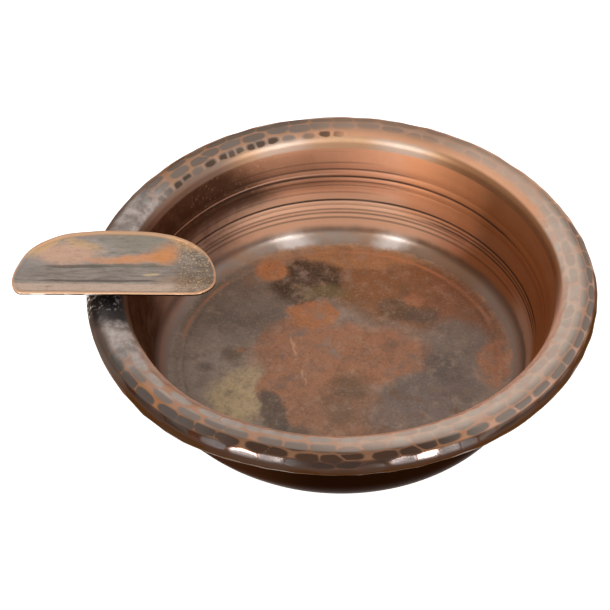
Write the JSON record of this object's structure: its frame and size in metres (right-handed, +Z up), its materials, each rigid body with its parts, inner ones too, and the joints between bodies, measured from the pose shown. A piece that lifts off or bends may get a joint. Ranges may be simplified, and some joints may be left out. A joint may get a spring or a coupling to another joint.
{
  "type": "hammered copper bowl",
  "caption": "Round spun copper bowl with a wide hammered rolled rim and a D-shaped trough rest soldered across it.",
  "frame": {"origin": "centre of the bowl's flat underside, on the table", "axes": "+Z up out of the bowl's mouth; the cigar rest lies over the rim on the -X side, its trough along X; its straight edge faces -Y, the front"},
  "size_m": [0.1878, 0.165, 0.0461],
  "materials": {
    "bowl_copper": "aged copper, hammered rim, spun lines inside, brown and grey patina",
    "rest_copper": "aged copper, heat-stained, worn lip",
    "solder": "dull soft solder, blackened"
  },
  "bodies": {
    "root": {"bowl_shell": "bowl_copper", "cigar_rest": "rest_copper", "rest_solder": "solder"}
  },
  "joints": []
}
